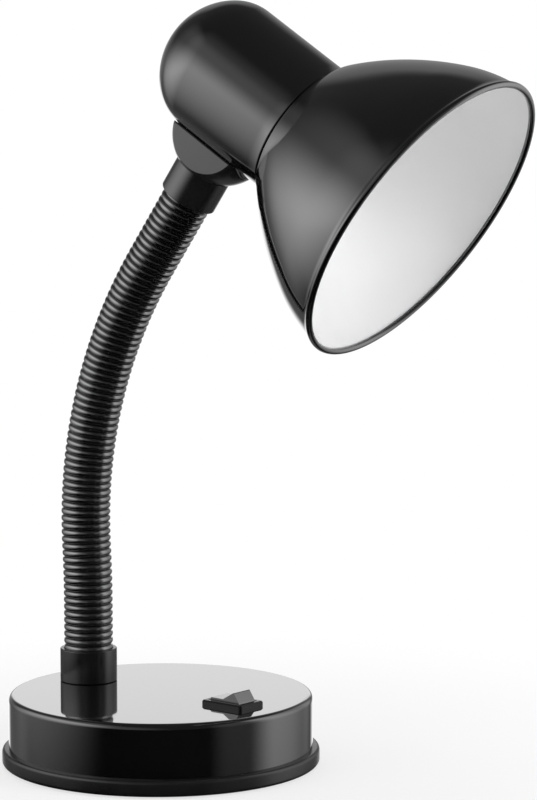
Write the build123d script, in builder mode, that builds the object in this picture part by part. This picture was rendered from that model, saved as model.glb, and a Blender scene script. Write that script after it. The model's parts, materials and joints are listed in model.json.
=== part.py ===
"""Gooseneck table lamp: weighted base, rocker switch, ribbed neck, bell shade."""

import math
import os

from build123d import *

os.makedirs("parts", exist_ok=True)

# Clearances
seat_gap = 0.05
slip_gap = 0.1
swing_gap = 0.35

# Base
base_height = 29.6
shell_d = 126.5
shell_wall = 1.2
shell_edge_r = 2.4
flange_lip = 2.75
flange_top = 7.3
flange_bottom = 0.6
flange_edge_r = 1.6
spigot_wall = 2.0
spigot_height = 4.0
cover_plate = 2.4
pad_margin = 8.0
pad_thick = 1.2
ballast_d = 90.0
ballast_height = 10.0
ballast_seat_wall = 1.6
ballast_seat_height = 3.0
notch_gap = 3.0
post_margin = 4.45
post_d = 7.0
post_count = 4
screw_d = 3.0
screw_length = 12.0
screw_head_d = 6.0
screw_head_height = 1.7
screw_slot = 0.9
screw_access_d = 8.0
inlet_rise = 0.8
inlet_hole_d = 9.0
inlet_bore_d = 6.0
inlet_lip = 1.6
inlet_lip_thick = 1.6

# Rocker switch, a standard 21 by 15 panel size
switch_inset = 24.25
bezel_length = 21.0
bezel_width = 15.0
bezel_height = 2.0
bezel_edge = 0.6
bezel_corner_r = 1.2
switch_body_length = 19.0
switch_body_width = 12.8
switch_body_depth = 13.0
rocker_length = 15.8
rocker_width = 10.0
rocker_ridge = 6.3
rocker_ridge_height = 4.9
rocker_mid_height = 3.2
rocker_end_height = 0.4
rocker_end_face = 0.6
rocker_keel = 2.2
rocker_keel_length = 10.0
rocker_tilt = 15.0
rocker_edge_r = 0.5
trunnion_d = 2.4
trunnion_length = 0.9
rocker_pin_gap = 0.05
well_gap_end = 0.8
well_depth = 3.7
clip_reach = 0.8
clip_height = 3.5
clip_width = 5.0
blade_width = 4.8
blade_thick = 0.8
blade_length = 6.5
blade_pitch = 10.0

# Neck
neck_inset = 22.55
neck_turn = 9.0
collar_d = 24.0
foot_collar_height = 14.0
collar_edge_r = 0.5
hose_socket = 4.0
hose_d = 20.8
hose_rib_depth = 1.15
hose_bore_d = 16.2
bore_pitch = 5.0
rib_pitch = 2.9
rib_crest = 0.9
rib_flank = 0.85
neck_lower_run = 21.4
neck_back_radius = 500.0
neck_back_angle = 3.0
neck_bend_radius = 200.0
head_tilt = 33.5
neck_upper_run = 36.7
core_d = 15.0
core_bore_d = 10.1
core_gap = 2.8
core_links = 9
core_end_run = 16.0
nipple_d = 10.0
nipple_bore_d = 7.0
nipple_grip = 10.0
nipple_spare = 1.2
nut_flats = 14.0
nut_height = 5.0
washer_d = 18.0
washer_thick = 1.2

# Head, measured along the head axis from the neck's own axis and across from the head axis
collar_end_drop = 55.2
ball_r = 21.0
ball_drop = 24.0
ball_flat_half = 14.0
ball_edge_r = 0.6
boss_r = 12.6
boss_drop = 21.0
boss_rear = 15.5
boss_front = 19.0
boss_end_r = 3.0
housing_d = 57.7
housing_drop = 1.55
housing_wall = 1.2
housing_front = 22.0
housing_skirt = 8.3
housing_skirt_r = 0.5
dome_start = 14.3
dome_depth = 24.7
dome_corner_r = 20.3
holder_hole_d = 40.4
nut_seat_drop = 29.6
nut_seat_d = 19.0

# Shade
shade_wall = 0.8
shade_neck_r = 25.6
shade_neck_run = 7.8
shade_throat_r = 0.8
shade_throat_turn = 78.0
shade_crown_r = 15.0
shade_flare_start = 43.7
shade_shoulder_x = 51.1
shade_shoulder_r = 59.4
shade_rim_x = 71.2
shade_rim_r = 64.5
rim_bead_r = 1.4
ring_height = 6.0
ring_wall = 3.4

# Lampholder
holder_d = 40.0
holder_rear = 9.0
holder_front = 31.0
holder_shoulder_d = 50.0
holder_shoulder = 3.0
socket_depth = 27.0
screw_shell_d = 29.0
screw_shell_wall = 1.2
screw_shell_rise = 2.0
screw_shell_length = 23.0
contact_d = 9.0
contact_thick = 0.8
contact_taper = 20.0
terminal_d = 6.0
terminal_height = 3.5
terminal_pitch = 18.0
terminal_rise = 5.0

# Shared frames and heights
shell_r = shell_d / 2
flange_r = shell_r + flange_lip
pad_r = flange_r - pad_margin
spigot_r = shell_r - shell_wall - slip_gap
spigot_inner_r = spigot_r - spigot_wall
post_circle_r = spigot_inner_r - post_margin - post_d / 2
neck_x = neck_inset - shell_r
switch_x = shell_r - switch_inset
collar_r = collar_d / 2
housing_r = housing_d / 2
shell_top_inside = base_height - shell_wall
cover_top = pad_thick + cover_plate
inlet_lip_r = inlet_hole_d / 2 + inlet_lip
inlet_height = flange_top + inlet_rise + inlet_lip_r
foot = Vector(neck_x, 0, 0)
forward = Vector(math.cos(math.radians(neck_turn)), math.sin(math.radians(neck_turn)), 0)
side = Vector(-math.sin(math.radians(neck_turn)), math.cos(math.radians(neck_turn)), 0)
up = Vector(0, 0, 1)
tilt = math.radians(head_tilt)
back_angle = math.radians(neck_back_angle)
back_run = neck_back_radius * back_angle
bend_run = neck_bend_radius * (tilt + back_angle)
neck_length = neck_lower_run + back_run + bend_run + neck_upper_run
hose_start_z = base_height + foot_collar_height - hose_socket


def neck_plane(distance):
    """Plane square to the neck's centreline, a distance along it from the foot collar's socket."""
    s, z, lean, left = 0.0, hose_start_z, 0.0, distance
    runs = (
        (neck_lower_run, 0),
        (back_run, -neck_back_radius),
        (bend_run, neck_bend_radius),
        (neck_upper_run + distance, 0),
    )
    for length, radius in runs:
        step = min(left, length)
        if radius == 0:
            s += step * math.sin(lean)
            z += step * math.cos(lean)
        else:
            turned = lean + step / radius
            s += radius * (math.cos(lean) - math.cos(turned))
            z += radius * (math.sin(turned) - math.sin(lean))
            lean = turned
        left -= step
    along = forward * math.sin(lean) + up * math.cos(lean)
    return Plane(origin=foot + forward * s + up * z, x_dir=side, z_dir=along)


neck_end = neck_plane(neck_length)
socket_end_drop = collar_end_drop - hose_socket
head_axis_dir = forward * math.cos(tilt) - up * math.sin(tilt)
head_up = forward * math.sin(tilt) + up * math.cos(tilt)
head_origin = neck_end.origin + head_up * socket_end_drop
head_plane = Plane(origin=head_origin, x_dir=head_axis_dir, z_dir=-side)
head_axis = Axis(head_origin, head_axis_dir)
drum_origin = head_origin - head_up * housing_drop
drum_plane = Plane(origin=drum_origin, x_dir=head_axis_dir, z_dir=-side)
drum_axis = Axis(drum_origin, head_axis_dir)
collar_axis = Axis(head_origin, head_up)


def head_level(drop):
    """Plane square to the neck's upper end, a drop below the head axis."""
    return Plane(origin=head_origin - head_up * drop, x_dir=head_axis_dir, z_dir=head_up)


def head_station(distance):
    """Plane square to the head axis, a distance towards the shade's mouth."""
    return Plane(origin=head_origin + head_axis_dir * distance, x_dir=side, z_dir=head_axis_dir)


def save(solid, name):
    """Label a finished piece and write it."""
    solid.label = name
    export_step(solid, f"parts/{name}.step")


post_angles = [2 * math.pi * (post + 0.5) / post_count for post in range(post_count)]
post_spots = [
    (post_circle_r * math.cos(angle), post_circle_r * math.sin(angle)) for angle in post_angles
]
screw_seat_z = pad_thick + cover_plate / 3
rocker_z = base_height

# Base shell: drum pressed from sheet, open below
with BuildPart() as base_shell:
    with BuildSketch(Plane.XZ):
        with BuildLine():
            wall_line = Line((shell_r, flange_top), (shell_r, base_height - shell_edge_r))
            edge_arc = JernArc(wall_line @ 1, (0, 1), shell_edge_r, 90)
            Line(edge_arc @ 1, (0, base_height))
            offset(amount=shell_wall, side=Side.LEFT)
        make_face()
    revolve(axis=Axis.Z)
    with BuildSketch(Plane.XY.offset(base_height)):
        with Locations((neck_x, 0)):
            Circle(nipple_d / 2 + slip_gap)
        with Locations((switch_x, 0)):
            Rectangle(switch_body_length + 2 * slip_gap, switch_body_width + 2 * slip_gap)
    extrude(amount=-2 * shell_wall, mode=Mode.SUBTRACT)
    with BuildSketch(Plane.YZ.offset(-shell_r - shell_wall)):
        with Locations((0, inlet_height)):
            Circle(inlet_hole_d / 2)
    extrude(amount=4 * shell_wall, mode=Mode.SUBTRACT)
save(base_shell.part, "base_shell")

# Bottom cover: flange round the foot of the shell, spigot inside it, seat for the ballast
ballast_seat_r = ballast_d / 2 + slip_gap
with BuildPart() as bottom_cover:
    with BuildSketch(Plane.XZ):
        with BuildLine():
            Polyline(
                (0, pad_thick),
                (pad_r + slip_gap, pad_thick),
                (pad_r + slip_gap, flange_bottom),
                (flange_r, flange_bottom),
                (flange_r, flange_top),
                (spigot_r, flange_top),
                (spigot_r, flange_top + spigot_height),
                (spigot_inner_r, flange_top + spigot_height),
                (spigot_inner_r, cover_top),
                (0, cover_top),
                close=True,
            )
        make_face()
    revolve(axis=Axis.Z)
    rims = bottom_cover.edges().filter_by(GeomType.CIRCLE)
    rims = rims.filter_by(lambda rim: abs(rim.radius - flange_r) < 1e-4)
    fillet(rims, flange_edge_r)
    with BuildSketch(Plane.XY.offset(cover_top)):
        Circle(ballast_seat_r + ballast_seat_wall)
        Circle(ballast_seat_r, mode=Mode.SUBTRACT)
        with Locations(*post_spots):
            Circle(post_d / 2 + slip_gap, mode=Mode.SUBTRACT)
    extrude(amount=ballast_seat_height)
    with BuildSketch(Plane.YZ.offset(-spigot_r)):
        with Locations((0, inlet_height)):
            Circle(inlet_lip_r + swing_gap)
    extrude(amount=2 * spigot_wall, mode=Mode.SUBTRACT)
    with BuildSketch(Plane.XY):
        with Locations(*post_spots):
            Circle(screw_d / 2 + slip_gap)
    extrude(amount=cover_top, mode=Mode.SUBTRACT)
    with BuildSketch(Plane.XY):
        with Locations(*post_spots):
            Circle(screw_head_d / 2 + slip_gap)
    extrude(amount=screw_seat_z, mode=Mode.SUBTRACT)
save(bottom_cover.part, "bottom_cover")

# Soft pad under the base
with BuildPart() as base_pad:
    with BuildSketch(Plane.XY):
        Circle(pad_r)
        with Locations(*post_spots):
            Circle(screw_access_d / 2, mode=Mode.SUBTRACT)
    extrude(amount=pad_thick)
save(base_pad.part, "base_pad")

# Ballast: cast disc in its seat, cleared for the posts and for the switch that hangs down
with BuildPart() as ballast_weight:
    with BuildSketch(Plane.XY.offset(cover_top)):
        Circle(ballast_d / 2)
        with Locations(*post_spots):
            Circle(post_d / 2 + notch_gap, mode=Mode.SUBTRACT)
        with Locations((switch_x, 0)):
            Rectangle(
                switch_body_length + 2 * notch_gap,
                switch_body_width + 2 * notch_gap,
                mode=Mode.SUBTRACT,
            )
    extrude(amount=ballast_height)
save(ballast_weight.part, "ballast_weight")

# Standoffs between cover and shell
with BuildPart() as cover_posts:
    with BuildSketch(Plane.XY.offset(cover_top)):
        with Locations(*post_spots):
            Circle(post_d / 2)
    extrude(amount=shell_top_inside - cover_top)
    with BuildSketch(Plane.XY.offset(cover_top)):
        with Locations(*post_spots):
            Circle(screw_d / 2 + seat_gap)
    extrude(amount=screw_length, mode=Mode.SUBTRACT)
save(cover_posts.part, "cover_posts")

# Screws through the cover into the standoffs
with BuildPart() as cover_screws:
    with BuildSketch(Plane.XY.offset(screw_seat_z)):
        with Locations(*post_spots):
            Circle(screw_d / 2)
    extrude(amount=screw_length)
    with BuildSketch(Plane.XY.offset(screw_seat_z)):
        with Locations(*post_spots):
            Circle(screw_head_d / 2)
    extrude(amount=-screw_head_height)
    with BuildSketch(Plane.XY.offset(screw_seat_z - screw_head_height)):
        with Locations(*post_spots):
            Rectangle(screw_slot, screw_head_d + slip_gap)
    extrude(amount=screw_head_height / 2, mode=Mode.SUBTRACT)
save(cover_screws.part, "cover_screws")

# Cord bush: grooved to the curve of the shell's wall
with BuildPart() as cord_bush:
    with BuildSketch(Plane.YZ.offset(-shell_r - inlet_lip_thick)):
        with Locations((0, inlet_height)):
            Circle(inlet_lip_r)
    extrude(amount=shell_wall + 2 * inlet_lip_thick)
    with BuildSketch(Plane.XY.offset(inlet_height - inlet_lip_r)):
        Circle(shell_r + seat_gap)
        Circle(shell_r - shell_wall - seat_gap, mode=Mode.SUBTRACT)
    extrude(amount=2 * inlet_lip_r, mode=Mode.SUBTRACT)
    with BuildSketch(Plane.YZ.offset(-shell_r - inlet_lip_thick)):
        with Locations((0, inlet_height)):
            Circle(inlet_hole_d / 2 - seat_gap)
    extrude(amount=shell_wall + 2 * inlet_lip_thick)
    with BuildSketch(Plane.YZ.offset(-shell_r - inlet_lip_thick)):
        with Locations((0, inlet_height)):
            Circle(inlet_bore_d / 2)
    extrude(amount=shell_wall + 2 * inlet_lip_thick, mode=Mode.SUBTRACT)
save(cord_bush.part, "cord_bush")

# Switch frame: bezel on the shell, closed body through the cut-out, well for the rocker
with BuildPart() as switch_frame:
    with BuildSketch(Plane.XY.offset(base_height)):
        with Locations((switch_x, 0)):
            RectangleRounded(bezel_length, bezel_width, bezel_corner_r)
    extrude(amount=bezel_height)
    chamfer(switch_frame.faces().sort_by(Axis.Z)[-1].edges(), bezel_edge)
    with BuildSketch(Plane.XY.offset(base_height)):
        with Locations((switch_x, 0)):
            Rectangle(switch_body_length, switch_body_width)
    extrude(amount=-switch_body_depth)
    with BuildSketch(Plane.XZ):
        for end in (-1, 1):
            with BuildLine():
                Polyline(
                    (switch_x + end * switch_body_length / 2, shell_top_inside - seat_gap),
                    (switch_x + end * (switch_body_length / 2 + clip_reach), shell_top_inside - seat_gap),
                    (switch_x + end * switch_body_length / 2, shell_top_inside - clip_height),
                    close=True,
                )
            make_face()
    extrude(amount=clip_width / 2, both=True)
    with BuildSketch(Plane.XY.offset(rocker_z - well_depth)):
        with Locations((switch_x, 0)):
            Rectangle(rocker_length + 2 * well_gap_end, rocker_width + 2 * swing_gap)
    extrude(amount=well_depth + bezel_height, mode=Mode.SUBTRACT)
    with BuildSketch(Plane.XZ):
        with Locations((switch_x, rocker_z)):
            Circle(trunnion_d / 2 + rocker_pin_gap)
    extrude(amount=rocker_width / 2 + trunnion_length + slip_gap, both=True, mode=Mode.SUBTRACT)
save(switch_frame.part, "switch_frame")

# Rocker, tipped with its front end up
rocker_lean = math.radians(rocker_tilt)
rocker_plane = Plane(
    origin=(switch_x, 0, rocker_z),
    x_dir=(math.cos(rocker_lean), 0, math.sin(rocker_lean)),
    z_dir=(0, -1, 0),
)
with BuildPart() as switch_rocker:
    with BuildSketch(rocker_plane):
        with BuildLine():
            Polyline(
                (-rocker_length / 2, rocker_end_height),
                (-rocker_ridge, rocker_ridge_height),
                (0, rocker_mid_height),
                (rocker_ridge, rocker_ridge_height),
                (rocker_length / 2, rocker_end_height),
                (rocker_length / 2, rocker_end_height - rocker_end_face),
                (rocker_keel_length / 2, -rocker_keel),
                (-rocker_keel_length / 2, -rocker_keel),
                (-rocker_length / 2, rocker_end_height - rocker_end_face),
                close=True,
            )
        make_face()
    extrude(amount=rocker_width / 2, both=True)
    crests = switch_rocker.edges().filter_by(Axis.Y).sort_by_distance(
        rocker_plane.from_local_coords((rocker_ridge, rocker_ridge_height, 0))
    )
    tails = switch_rocker.edges().filter_by(Axis.Y).sort_by_distance(
        rocker_plane.from_local_coords((-rocker_ridge, rocker_ridge_height, 0))
    )
    fillet([crests[0], tails[0]], rocker_edge_r)
    with BuildSketch(rocker_plane):
        Circle(trunnion_d / 2)
    extrude(amount=rocker_width / 2 + trunnion_length, both=True)
save(switch_rocker.part, "switch_rocker")

# Blade terminals under the switch
with BuildPart() as switch_terminals:
    with BuildSketch(Plane.XY.offset(base_height - switch_body_depth)):
        with Locations((switch_x - blade_pitch / 2, 0), (switch_x + blade_pitch / 2, 0)):
            Rectangle(blade_thick, blade_width)
    extrude(amount=-blade_length)
save(switch_terminals.part, "switch_terminals")

# Foot collar: seat on the shell, socket for the hose
with BuildPart() as foot_collar:
    with BuildSketch(Plane.XY.offset(base_height)):
        with Locations((neck_x, 0)):
            Circle(collar_r)
    extrude(amount=foot_collar_height)
    fillet(foot_collar.faces().sort_by(Axis.Z)[-1].edges(), collar_edge_r)
    with BuildSketch(Plane.XY.offset(hose_start_z)):
        with Locations((neck_x, 0)):
            Circle(hose_d / 2 + slip_gap)
    extrude(amount=hose_socket, mode=Mode.SUBTRACT)
    with BuildSketch(Plane.XY.offset(base_height)):
        with Locations((neck_x, 0)):
            Circle(nipple_d / 2 + slip_gap)
    extrude(amount=foot_collar_height, mode=Mode.SUBTRACT)
save(foot_collar.part, "foot_collar")

# Nipple, washer and nut that hold the neck to the shell
foot_nut_z = shell_top_inside - washer_thick - nut_height
foot_nipple_z = foot_nut_z - nipple_spare
with BuildPart() as foot_nipple:
    with BuildSketch(Plane.XY.offset(foot_nipple_z)):
        with Locations((neck_x, 0)):
            Circle(nipple_d / 2)
            Circle(nipple_bore_d / 2, mode=Mode.SUBTRACT)
    extrude(amount=hose_start_z + nipple_grip - foot_nipple_z)
save(foot_nipple.part, "foot_nipple")

with BuildPart() as foot_washer:
    with BuildSketch(Plane.XY.offset(shell_top_inside)):
        with Locations((neck_x, 0)):
            Circle(washer_d / 2)
            Circle(nipple_d / 2 + slip_gap, mode=Mode.SUBTRACT)
    extrude(amount=-washer_thick)
save(foot_washer.part, "foot_washer")

with BuildPart() as foot_nut:
    with BuildSketch(Plane.XY.offset(foot_nut_z)):
        with Locations((neck_x, 0)):
            RegularPolygon(nut_flats / 2, 6, major_radius=False)
            Circle(nipple_d / 2 + seat_gap, mode=Mode.SUBTRACT)
    extrude(amount=nut_height)
save(foot_nut.part, "foot_nut")

# Bendable core: nine straight lengths along the neck's centreline
joint_step = (neck_length - 2 * core_end_run) / (core_links - 2)
joints_at = [core_end_run + joint_step * step for step in range(core_links - 1)]
for link in range(core_links):
    begins = joints_at[link - 1] + core_gap / 2 if link else 0
    ends = joints_at[link] - core_gap / 2 if link < core_links - 1 else neck_length
    low, high = neck_plane(begins).origin, neck_plane(ends).origin
    with BuildPart() as neck_core:
        with BuildSketch(Plane(origin=low, x_dir=side, z_dir=high - low)):
            Circle(core_d / 2)
            Circle(core_bore_d / 2, mode=Mode.SUBTRACT)
        extrude(amount=(high - low).length)
    save(neck_core.part, f"neck_core_{link}")

# Ribbed hose over the core
rib_count = round(neck_length / rib_pitch)
rib_step = neck_length / rib_count
hose_root_r = hose_d / 2 - hose_rib_depth
rib_profile = (
    (0, hose_root_r),
    (rib_flank, hose_d / 2),
    (rib_flank + rib_crest, hose_d / 2),
    (2 * rib_flank + rib_crest, hose_root_r),
)
bore_steps = math.ceil(neck_length / bore_pitch)
with BuildPart() as neck_hose:
    for rib in range(rib_count):
        for along_rib, radius in rib_profile:
            with BuildSketch(neck_plane(rib * rib_step + along_rib)):
                Circle(radius)
    with BuildSketch(neck_plane(neck_length)):
        Circle(hose_root_r)
    loft(ruled=True)
    for step in range(bore_steps + 1):
        with BuildSketch(neck_plane(neck_length * step / bore_steps)):
            Circle(hose_bore_d / 2)
    loft(ruled=True, mode=Mode.SUBTRACT)
save(neck_hose.part, "neck_hose")

# Head knuckle: collar, ball with two flats, saddle for the housing's boss
with BuildPart() as head_knuckle:
    with BuildSketch(head_plane):
        with BuildLine():
            ball_join = ball_drop + math.sqrt(ball_r**2 - collar_r**2)
            stem = Polyline(
                (0, -ball_join),
                (0, -collar_end_drop),
                (collar_r, -collar_end_drop),
                (collar_r, -ball_join),
            )
            ball_arc = ThreePointArc(stem @ 1, (ball_r, -ball_drop), (0, ball_r - ball_drop))
            Line(ball_arc @ 1, stem @ 0)
        make_face()
    revolve(axis=collar_axis)
    fillet(head_knuckle.faces().sort_by(collar_axis)[0].edges(), collar_edge_r)
    with BuildSketch(head_level(collar_end_drop)):
        for hand in (-1, 1):
            with Locations((0, hand * (ball_flat_half + ball_r / 2))):
                Rectangle(3 * ball_r, ball_r)
    extrude(amount=collar_end_drop, mode=Mode.SUBTRACT)
    with BuildSketch(head_station(-2 * ball_r)):
        with Locations((0, -housing_drop)):
            Circle(housing_r + seat_gap)
        with Locations((0, -boss_drop)):
            Circle(boss_r + seat_gap)
        make_hull()
    extrude(amount=4 * ball_r, mode=Mode.SUBTRACT)
    cheeks = head_knuckle.faces().filter_by(Axis((0, 0, 0), side))
    fillet(cheeks.edges(), ball_edge_r)
    with BuildSketch(head_level(collar_end_drop)):
        Circle(hose_d / 2 + slip_gap)
    extrude(amount=hose_socket, mode=Mode.SUBTRACT)
    with BuildSketch(head_level(collar_end_drop)):
        Circle(nipple_d / 2 + slip_gap)
    extrude(amount=collar_end_drop, mode=Mode.SUBTRACT)
save(head_knuckle.part, "head_knuckle")

# Nipple, washer and nut that hold the head to the neck
head_nut_drop = nut_seat_drop - washer_thick
head_nipple_drop = head_nut_drop - nut_height - nipple_spare
with BuildPart() as head_nipple:
    with BuildSketch(head_level(socket_end_drop + nipple_grip)):
        Circle(nipple_d / 2)
        Circle(nipple_bore_d / 2, mode=Mode.SUBTRACT)
    extrude(amount=socket_end_drop + nipple_grip - head_nipple_drop)
save(head_nipple.part, "head_nipple")

with BuildPart() as head_washer:
    with BuildSketch(head_level(nut_seat_drop)):
        Circle(washer_d / 2)
        Circle(nipple_d / 2 + slip_gap, mode=Mode.SUBTRACT)
    extrude(amount=washer_thick)
save(head_washer.part, "head_washer")

with BuildPart() as head_nut:
    with BuildSketch(head_level(head_nut_drop)):
        RegularPolygon(nut_flats / 2, 6, major_radius=False)
        Circle(nipple_d / 2 + seat_gap, mode=Mode.SUBTRACT)
    extrude(amount=nut_height)
save(head_nut.part, "head_nut")

# Housing: dome-ended drum whose skirt hides the shade's neck, its underside drawn in to a round boss
dome_inset = housing_r - dome_corner_r
dome_shift = (dome_inset**2 - (dome_depth - dome_corner_r) ** 2) / (2 * (dome_depth - dome_corner_r))
dome_cap_r = dome_depth + dome_shift
dome_turn = math.degrees(math.atan2(dome_shift, dome_inset))
skirt_end = housing_front + housing_skirt
drum_skins = ((skirt_end, 0, Mode.ADD), (housing_front - housing_wall, housing_wall, Mode.SUBTRACT))
with BuildPart() as lamp_housing:
    with BuildSketch(head_station(-boss_rear)):
        with Locations((0, -housing_drop)):
            Circle(housing_r)
        with Locations((0, -boss_drop)):
            Circle(boss_r)
        make_hull()
    extrude(amount=boss_rear + boss_front)
    fillet(lamp_housing.faces().filter_by(head_axis).edges(), boss_end_r)
    with BuildSketch(head_station(-2 * housing_r)):
        with Locations((0, -housing_drop)):
            Circle(housing_r - housing_wall / 2)
    extrude(amount=4 * housing_r, mode=Mode.SUBTRACT)
    for end, sunk, mode in drum_skins:
        with BuildSketch(drum_plane):
            with BuildLine():
                end_wall = Line((end, 0), (end, housing_r - sunk))
                drum = Line(end_wall @ 1, (-dome_start, housing_r - sunk))
                corner = JernArc(drum @ 1, (-1, 0), dome_corner_r - sunk, dome_turn)
                cap = JernArc(corner @ 1, corner % 1, dome_cap_r - sunk, 90 - dome_turn)
                Line(cap @ 1, end_wall @ 0)
            make_face()
        revolve(axis=drum_axis, mode=mode)
    with BuildSketch(head_station(housing_front)):
        with Locations((0, -housing_drop)):
            Circle(housing_r - housing_wall)
    extrude(amount=2 * housing_skirt, mode=Mode.SUBTRACT)
    fillet(lamp_housing.faces().filter_by(head_axis).sort_by(head_axis)[-1].edges(), housing_skirt_r)
    with BuildSketch(head_station(housing_front)):
        Circle(holder_hole_d / 2)
    extrude(amount=-2 * housing_wall, mode=Mode.SUBTRACT)
    with BuildSketch(head_level(nut_seat_drop)):
        Circle(nut_seat_d / 2)
    extrude(amount=nut_seat_drop, mode=Mode.SUBTRACT)
    with BuildSketch(head_level(boss_drop + boss_r + slip_gap)):
        Circle(nipple_d / 2 + slip_gap)
    extrude(amount=boss_r, mode=Mode.SUBTRACT)
save(lamp_housing.part, "lamp_housing")

# Shade: spun bell with a rolled rim, its end wall against the housing's
with BuildPart() as shade:
    with BuildSketch(head_plane):
        with BuildLine():
            neck = Polyline(
                (housing_front, holder_hole_d / 2),
                (housing_front, shade_neck_r),
                (housing_front + shade_neck_run, shade_neck_r),
            )
            throat = JernArc(neck @ 1, (1, 0), shade_throat_r, shade_throat_turn)
            crown_turn = shade_flare_start - shade_throat_turn
            crown = JernArc(throat @ 1, throat % 1, shade_crown_r, crown_turn)
            shoulder_point = (housing_front + shade_shoulder_x, shade_shoulder_r)
            flare = TangentArc(crown @ 1, shoulder_point, tangent=crown % 1)
            rim_point = (housing_front + shade_rim_x, shade_rim_r)
            TangentArc(flare @ 1, rim_point, tangent=flare % 1)
            offset(amount=shade_wall, side=Side.RIGHT)
        make_face()
        with Locations((housing_front + shade_rim_x, shade_rim_r - shade_wall / 2)):
            Circle(rim_bead_r)
    revolve(axis=head_axis)
save(shade.part, "shade")

# Ring that clamps shade and housing against the lampholder's shoulder
with BuildPart() as shade_ring:
    with BuildSketch(head_station(housing_front + shade_wall)):
        Circle(holder_d / 2 + seat_gap + ring_wall)
        Circle(holder_d / 2 + seat_gap, mode=Mode.SUBTRACT)
    extrude(amount=ring_height)
save(shade_ring.part, "shade_ring")

# Lampholder: body with a shoulder, screw shell, centre contact, rear terminals
holder_r = holder_d / 2
socket_r = screw_shell_d / 2 + seat_gap
shoulder_x = housing_front - housing_wall - holder_shoulder
socket_floor_x = holder_front - socket_depth
with BuildPart() as lampholder_body:
    with BuildSketch(head_plane):
        with BuildLine():
            Polyline(
                (-holder_rear, 0),
                (-holder_rear, holder_r),
                (shoulder_x, holder_r),
                (shoulder_x, holder_shoulder_d / 2),
                (shoulder_x + holder_shoulder, holder_shoulder_d / 2),
                (shoulder_x + holder_shoulder, holder_r),
                (holder_front, holder_r),
                (holder_front, socket_r),
                (socket_floor_x, socket_r),
                (socket_floor_x, 0),
                close=True,
            )
        make_face()
    revolve(axis=head_axis)
save(lampholder_body.part, "lampholder_body")

with BuildPart() as screw_shell:
    with BuildSketch(head_station(socket_floor_x + screw_shell_rise)):
        Circle(screw_shell_d / 2)
        Circle(screw_shell_d / 2 - screw_shell_wall, mode=Mode.SUBTRACT)
    extrude(amount=screw_shell_length)
save(screw_shell.part, "screw_shell")

with BuildPart() as centre_contact:
    with BuildSketch(head_station(socket_floor_x)):
        Circle(contact_d / 2)
    extrude(amount=contact_thick)
    with BuildSketch(head_station(socket_floor_x + contact_thick)):
        Circle(contact_d / 4)
    extrude(amount=contact_thick, taper=contact_taper)
save(centre_contact.part, "centre_contact")

with BuildPart() as holder_terminals:
    with BuildSketch(head_station(-holder_rear)):
        with Locations((-terminal_pitch / 2, terminal_rise), (terminal_pitch / 2, terminal_rise)):
            Circle(terminal_d / 2)
    extrude(amount=-terminal_height)
    with BuildSketch(head_station(-holder_rear - terminal_height)):
        with Locations((-terminal_pitch / 2, terminal_rise), (terminal_pitch / 2, terminal_rise)):
            Rectangle(screw_slot, terminal_d + slip_gap)
    extrude(amount=terminal_height / 3, mode=Mode.SUBTRACT)
save(holder_terminals.part, "holder_terminals")
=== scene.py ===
"""Gooseneck table lamp: its looks, laid out as an add-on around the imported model."""

import json
import math

import bmesh
import bpy
from bpy.props import FloatProperty, FloatVectorProperty, IntProperty, PointerProperty
from bpy.types import Operator, Panel, PropertyGroup
from mathutils import Matrix, Vector


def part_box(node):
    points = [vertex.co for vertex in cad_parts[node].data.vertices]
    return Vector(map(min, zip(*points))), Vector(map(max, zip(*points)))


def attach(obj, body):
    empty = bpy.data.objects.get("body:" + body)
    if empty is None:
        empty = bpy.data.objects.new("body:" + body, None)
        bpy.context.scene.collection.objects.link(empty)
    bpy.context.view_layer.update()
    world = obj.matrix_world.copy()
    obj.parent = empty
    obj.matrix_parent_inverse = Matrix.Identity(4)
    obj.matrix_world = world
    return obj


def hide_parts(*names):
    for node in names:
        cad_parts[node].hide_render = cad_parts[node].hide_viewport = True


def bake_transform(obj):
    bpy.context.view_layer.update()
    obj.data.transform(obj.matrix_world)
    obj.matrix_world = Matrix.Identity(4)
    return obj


bl_info = {
    "name": "Gooseneck Table Lamp",
    "version": (1, 0, 0),
    "blender": (4, 5, 0),
    "location": "View3D > Sidebar > Lamp",
    "description": "Dresses the packed table lamp with its finishes, ribbed neck and studio",
    "category": "Object",
}

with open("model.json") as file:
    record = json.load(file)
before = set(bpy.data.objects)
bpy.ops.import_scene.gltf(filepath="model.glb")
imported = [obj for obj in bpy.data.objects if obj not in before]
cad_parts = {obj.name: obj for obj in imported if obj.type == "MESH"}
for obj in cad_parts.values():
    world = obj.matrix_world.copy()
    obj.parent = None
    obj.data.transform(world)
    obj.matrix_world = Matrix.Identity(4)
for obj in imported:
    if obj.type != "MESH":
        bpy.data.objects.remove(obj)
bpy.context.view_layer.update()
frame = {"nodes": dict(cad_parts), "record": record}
MM = 0.001
# Points closer than this are one, and edges that turn by more than these degrees stay sharp.
MERGE = 1e-7
CREASE, SOFT_CREASE = 35.0, 60.0
UP = Vector((0, 0, 1))
WHITE = (1.0, 1.0, 1.0, 1.0)


def span(node, axis):
    """Lowest and highest place of a node along one of the row's axes."""
    low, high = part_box(node)
    return low[axis], high[axis]


def middle(node, axis):
    """Middle of a node along one of the row's axes."""
    return sum(span(node, axis)) / 2


def half_width(node):
    """Half of a node's size along X: the radius of a round one."""
    low, high = span(node, 0)
    return (high - low) / 2


SHELL_FOOT, SHELL_TOP = span("base_shell", 2)
SHELL_RADIUS = half_width("base_shell")
FLANGE_RADIUS = half_width("bottom_cover")
COLLAR_TOP = span("foot_collar", 2)[1]
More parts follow.
